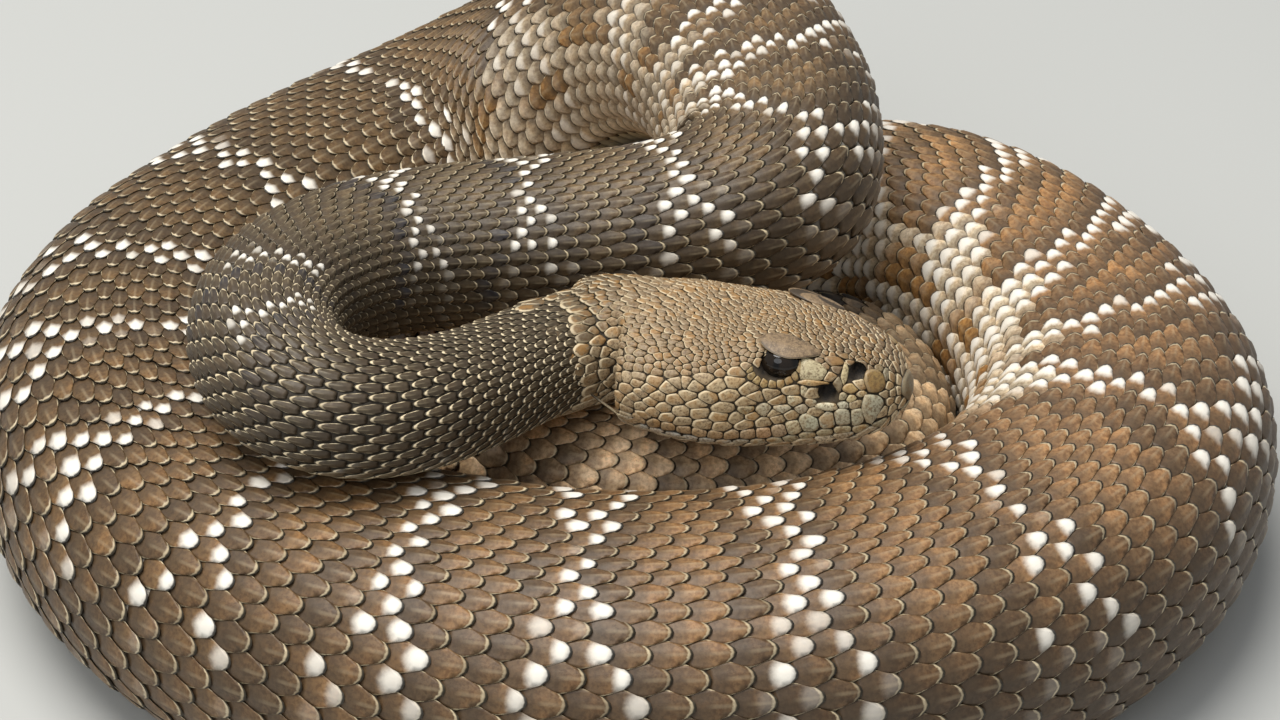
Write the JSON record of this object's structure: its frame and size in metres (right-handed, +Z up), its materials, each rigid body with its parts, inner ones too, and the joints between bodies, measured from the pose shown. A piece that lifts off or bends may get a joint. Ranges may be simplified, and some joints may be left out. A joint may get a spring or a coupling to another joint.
{
  "type": "western diamondback rattlesnake",
  "caption": "Still life-size snake lying in a low coil, broad head resting on its own loops, body tapering to a rattle held up inside the coil.",
  "frame": {"origin": "centre of the coil's box, on the floor that the belly lies on", "axes": "+Z up, +X along the coil's longer side, -Y on the side that the viewer sees first, with the snout towards +X"},
  "size_m": [0.2042, 0.1916, 0.0668],
  "materials": {
    "scaled_skin": "dull, keeled overlapping scales",
    "head_skin": "small matt scales and smoother lip plates",
    "belly_skin": "smooth satin plates",
    "tail_skin": "dull, keeled scales in pale and dark rings",
    "eye": "wet gloss",
    "horn": "dry satin horn"
  },
  "bodies": {
    "root": {"head": "head_skin", "lower_jaw": "belly_skin", "eye_left": "eye", "eye_right": "eye", "neck": "scaled_skin", "body_01": "scaled_skin", "body_02": "scaled_skin", "body_03": "scaled_skin", "body_04": "scaled_skin", "body_05": "scaled_skin", "body_06": "scaled_skin", "body_07": "scaled_skin", "body_08": "scaled_skin", "body_09": "scaled_skin", "body_10": "scaled_skin", "body_11": "scaled_skin", "body_12": "scaled_skin", "body_13": "scaled_skin", "body_14": "scaled_skin", "body_15": "scaled_skin", "tail_base": "tail_skin", "tail_middle": "tail_skin", "tail_tip": "tail_skin", "rattle": "horn"}
  },
  "joints": []
}
